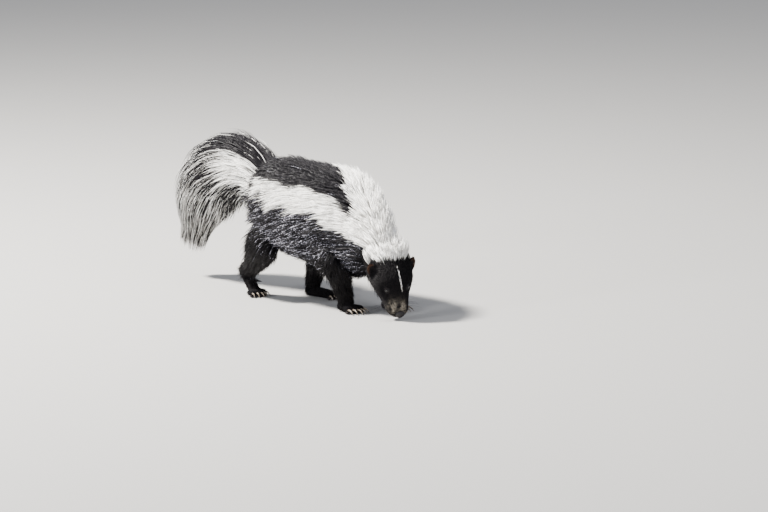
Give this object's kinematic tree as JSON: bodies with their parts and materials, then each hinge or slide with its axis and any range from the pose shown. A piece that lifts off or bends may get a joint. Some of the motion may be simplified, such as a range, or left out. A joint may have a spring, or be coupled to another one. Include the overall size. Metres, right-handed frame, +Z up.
{
  "type": "striped skunk",
  "caption": "Life-size still striped skunk, walking nose down with its head turned aside and its bushy tail carried out behind.",
  "frame": {"origin": "the middle of the bounding box's bottom, on the floor between the feet", "axes": "+X from the tail to the head, +Y the animal's left, +Z up"},
  "size_m": [0.5073, 0.1375, 0.2327],
  "materials": {
    "coat": "long black and white fur, soft and slightly shiny",
    "paw": "short black fur with dark pads and horn-coloured claws",
    "ear": "short dark fur, reddish brown inside",
    "nose": "moist dark skin",
    "eye": "very dark, wet gloss"
  },
  "bodies": {
    "root": {"head": "coat", "neck": "coat", "torso": "coat", "tail_base": "coat", "tail_end": "coat", "front_right_leg": "coat", "front_right_paw": "paw", "front_left_leg": "coat", "front_left_paw": "paw", "hind_right_leg": "coat", "hind_right_paw": "paw", "hind_left_leg": "coat", "hind_left_paw": "paw", "nose": "nose", "eye_left": "eye", "ear_left": "ear", "eye_right": "eye", "ear_right": "ear"}
  },
  "joints": []
}
